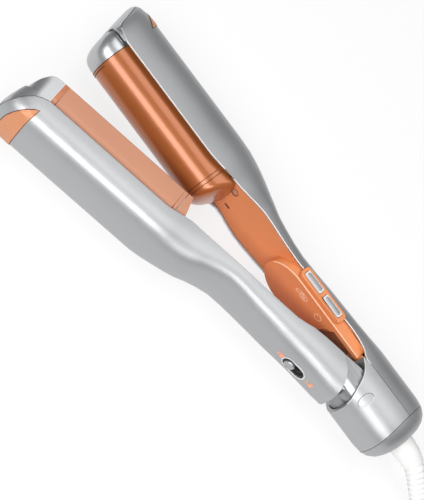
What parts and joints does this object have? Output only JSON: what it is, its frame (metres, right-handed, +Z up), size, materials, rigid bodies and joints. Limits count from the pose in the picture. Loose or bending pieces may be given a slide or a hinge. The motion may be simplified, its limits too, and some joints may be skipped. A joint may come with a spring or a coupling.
{
  "type": "hair waver",
  "caption": "Two-armed hair waver with a convex half-round barrel, a matching trough, push buttons, a slide lock and a coiled cord.",
  "frame": {"origin": "the flat land on the underside of the rear body, under the hinge, which lies on the table: the device lies on its side", "axes": "+Z up, along the hinge pin; +X from the hinge along the base arm to the tips; +Y from the base arm toward the clamp arm"},
  "size_m": [0.5656, 0.1442, 0.042],
  "materials": {
    "silver_shell": "satin silver paint with a soft sheen",
    "bright_nose": "bright silver, chrome-like",
    "copper_plate": "glossy copper-orange coated metal",
    "orange_trim": "matte orange moulded plastic",
    "white_cord": "smooth white flexible plastic",
    "dark_plastic": "dark moulded plastic",
    "steel_parts": "plain steel",
    "ceramic_inner": "pale heat-proof insulating board"
  },
  "bodies": {
    "root": {"base_shell": "silver_shell", "head_housing": "silver_shell", "rear_cap": "silver_shell", "pivot_cap_upper": "silver_shell", "pivot_cap_lower": "silver_shell", "pivot_pin": "steel_parts", "hinge_spring": "steel_parts", "base_nose": "bright_nose", "base_tip_pad": "orange_trim", "barrel": "copper_plate", "barrel_end_cap": "orange_trim", "barrel_carrier": "ceramic_inner", "barrel_heater": "ceramic_inner", "barrel_clip": "steel_parts", "inner_panel": "orange_trim", "panel_screw": "steel_parts", "button_bezel": "orange_trim", "switch_mode": "dark_plastic", "switch_power": "dark_plastic", "control_board": "dark_plastic", "strain_relief": "white_cord", "cord": "white_cord", "cord_coil": "white_cord", "cord_tie": "dark_plastic", "plug_body": "white_cord", "plug_pin_1": "steel_parts", "plug_pin_2": "steel_parts"},
    "clamp_arm": {"clamp_shell": "silver_shell", "clamp_tip_pad": "orange_trim", "clamp_nose": "bright_nose", "trough": "copper_plate", "trough_end_block": "orange_trim", "trough_carrier": "ceramic_inner", "trough_heater": "ceramic_inner", "clamp_cover": "orange_trim", "clamp_neck": "silver_shell", "lock_guide": "dark_plastic"},
    "lock": {"lock_slider": "silver_shell", "lock_bolt": "steel_parts"},
    "mode_button": {"button_mode": "bright_nose"},
    "power_button": {"button_power": "bright_nose"}
  },
  "joints": [
    {"name": "clamp_hinge", "type": "hinge", "parent": "root", "child": "clamp_arm", "pos_m": [0, 0.0132, 0.021], "axis": [0, 0, 1], "range_deg": [-13.8, 0], "stiffness_Nm_per_rad": 0.3, "springref_deg": 17.19},
    {"name": "lock_slide", "type": "slide", "parent": "clamp_arm", "child": "lock", "axis": [-0.9711, -0.2385, 0], "range_m": [0, 0.006]},
    {"name": "button_mode_press", "type": "slide", "parent": "root", "child": "mode_button", "axis": [0, 0, -1], "range_m": [0, 0.0008], "stiffness_N_per_m": 600},
    {"name": "button_power_press", "type": "slide", "parent": "root", "child": "power_button", "axis": [0, 0, -1], "range_m": [0, 0.0008], "stiffness_N_per_m": 600}
  ]
}
